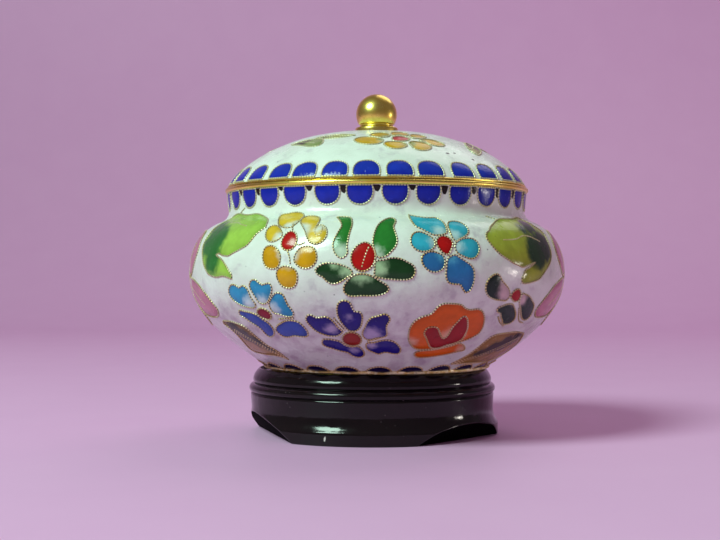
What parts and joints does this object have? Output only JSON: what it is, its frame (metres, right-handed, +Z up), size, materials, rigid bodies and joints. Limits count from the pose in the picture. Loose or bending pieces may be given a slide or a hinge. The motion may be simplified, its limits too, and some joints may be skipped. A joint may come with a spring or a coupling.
{
  "type": "cloisonne enamel lidded box",
  "caption": "Round squat cloisonne box with a lift-off domed lid, ball knob and gilt rims, on a low turned black lacquered stand.",
  "frame": {"origin": "the point of the stand's flat underside straight below the knob; the stand's own middle is 1.45 mm to the left of it (-X), because the box is set down off centre", "axes": "+Z up through the knob; -Y is the front, the side with the green flower between the yellow and the turquoise one"},
  "size_m": [0.1194, 0.1196, 0.109],
  "materials": {
    "black_lacquer": "black lacquer, glossy",
    "gilt": "gilded copper, polished and slightly worn",
    "enamel": "white ground enamel with many-coloured cells between gilt wires, glossy"
  },
  "bodies": {
    "root": {"stand": "black_lacquer", "foot_ring": "gilt", "bowl": "enamel", "bowl_rim": "gilt", "lid": "enamel", "lid_rim": "gilt", "knob": "gilt"}
  },
  "joints": []
}
